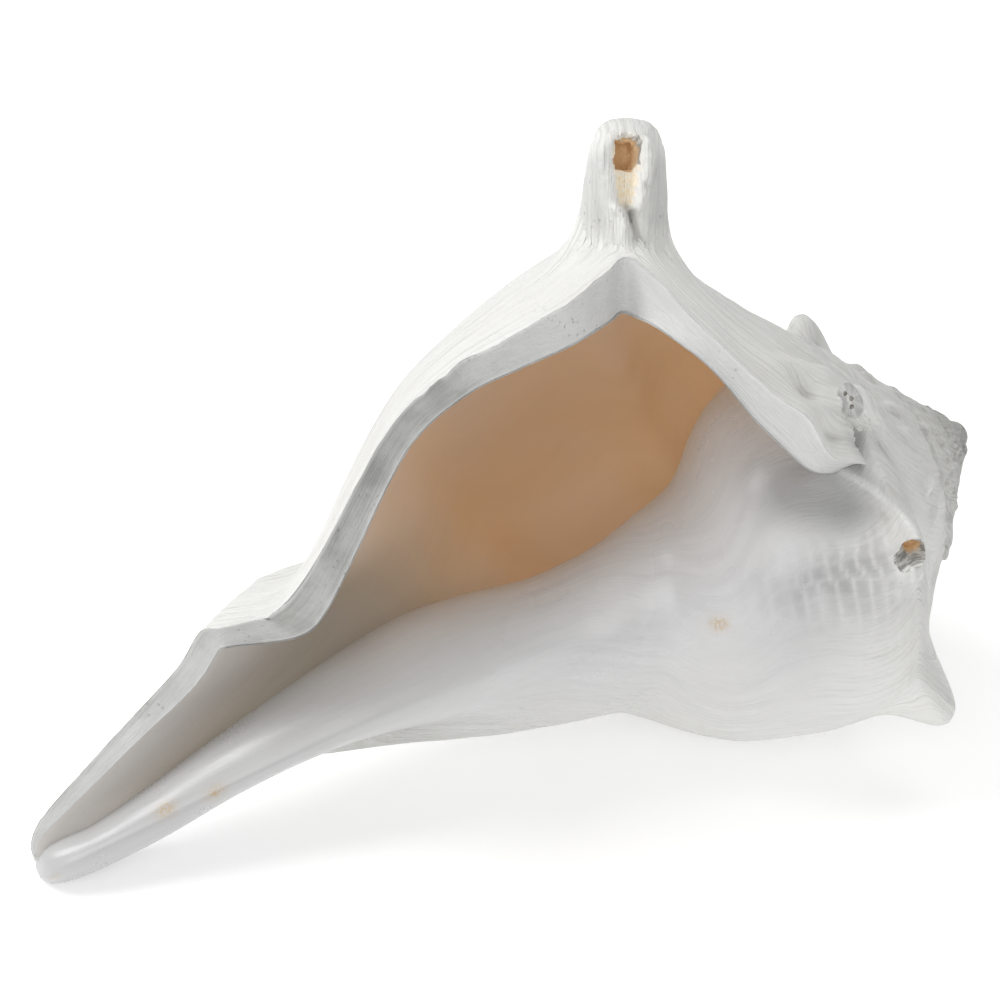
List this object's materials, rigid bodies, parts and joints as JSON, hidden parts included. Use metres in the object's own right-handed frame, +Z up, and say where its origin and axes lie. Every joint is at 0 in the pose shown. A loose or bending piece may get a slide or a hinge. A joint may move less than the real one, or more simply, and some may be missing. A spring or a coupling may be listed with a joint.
{
  "type": "conch shell",
  "caption": "Left-coiled knobbed conch shell lying aperture up, with an open lip, a long siphonal canal and a tall hollow spine on the lip's shoulder.",
  "frame": {"origin": "under the middle of the shell's bounding box, on the surface it lies on", "axes": "+Z up; -X towards the canal's tip and +X towards the apex; -Y is the side that the aperture opens to"},
  "size_m": [0.1845, 0.1238, 0.1348],
  "materials": {
    "shell": "chalky white outside, polished tan inside"
  },
  "bodies": {
    "root": {"conch_shell": "shell"}
  },
  "joints": []
}
